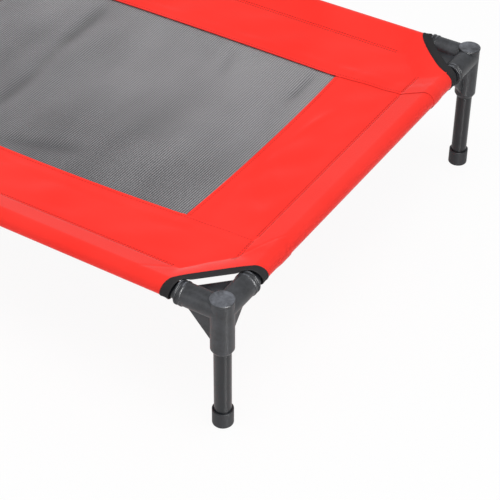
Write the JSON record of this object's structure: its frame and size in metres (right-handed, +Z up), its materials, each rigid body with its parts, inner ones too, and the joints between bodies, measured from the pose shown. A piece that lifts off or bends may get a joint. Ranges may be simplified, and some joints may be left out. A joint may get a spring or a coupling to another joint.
{
  "type": "raised dog cot",
  "caption": "Raised pet cot: coated tube frame with moulded three-way corner sockets and capped legs, carrying a stretched cloth deck with a mesh window.",
  "frame": {"origin": "on the floor under the middle of the cot", "axes": "+X along the length, +Y along the width from front to back, +Z up"},
  "size_m": [0.7618, 0.6118, 0.18],
  "materials": {
    "moulded_plastic": "matte moulded dark grey",
    "coated_steel": "black powder coat, satin",
    "foot_rubber": "matte dark grey",
    "border_cloth": "coated plain-weave polyester, red",
    "mesh_cloth": "ribbed mesh, mid grey",
    "binding_tape": "woven tape, black"
  },
  "bodies": {
    "root": {"corner_fitting_front_left": "moulded_plastic", "leg_tube_front_left": "coated_steel", "foot_cap_front_left": "foot_rubber", "corner_binding_front_left": "binding_tape", "corner_fitting_front_right": "moulded_plastic", "leg_tube_front_right": "coated_steel", "foot_cap_front_right": "foot_rubber", "corner_binding_front_right": "binding_tape", "corner_fitting_back_left": "moulded_plastic", "leg_tube_back_left": "coated_steel", "foot_cap_back_left": "foot_rubber", "corner_binding_back_left": "binding_tape", "corner_fitting_back_right": "moulded_plastic", "leg_tube_back_right": "coated_steel", "foot_cap_back_right": "foot_rubber", "corner_binding_back_right": "binding_tape", "long_rail_front": "coated_steel", "long_rail_back": "coated_steel", "short_rail_left": "coated_steel", "short_rail_right": "coated_steel", "long_border_front": "border_cloth", "long_border_back": "border_cloth", "short_border_left": "border_cloth", "short_border_right": "border_cloth", "mesh_panel": "mesh_cloth"}
  },
  "joints": []
}
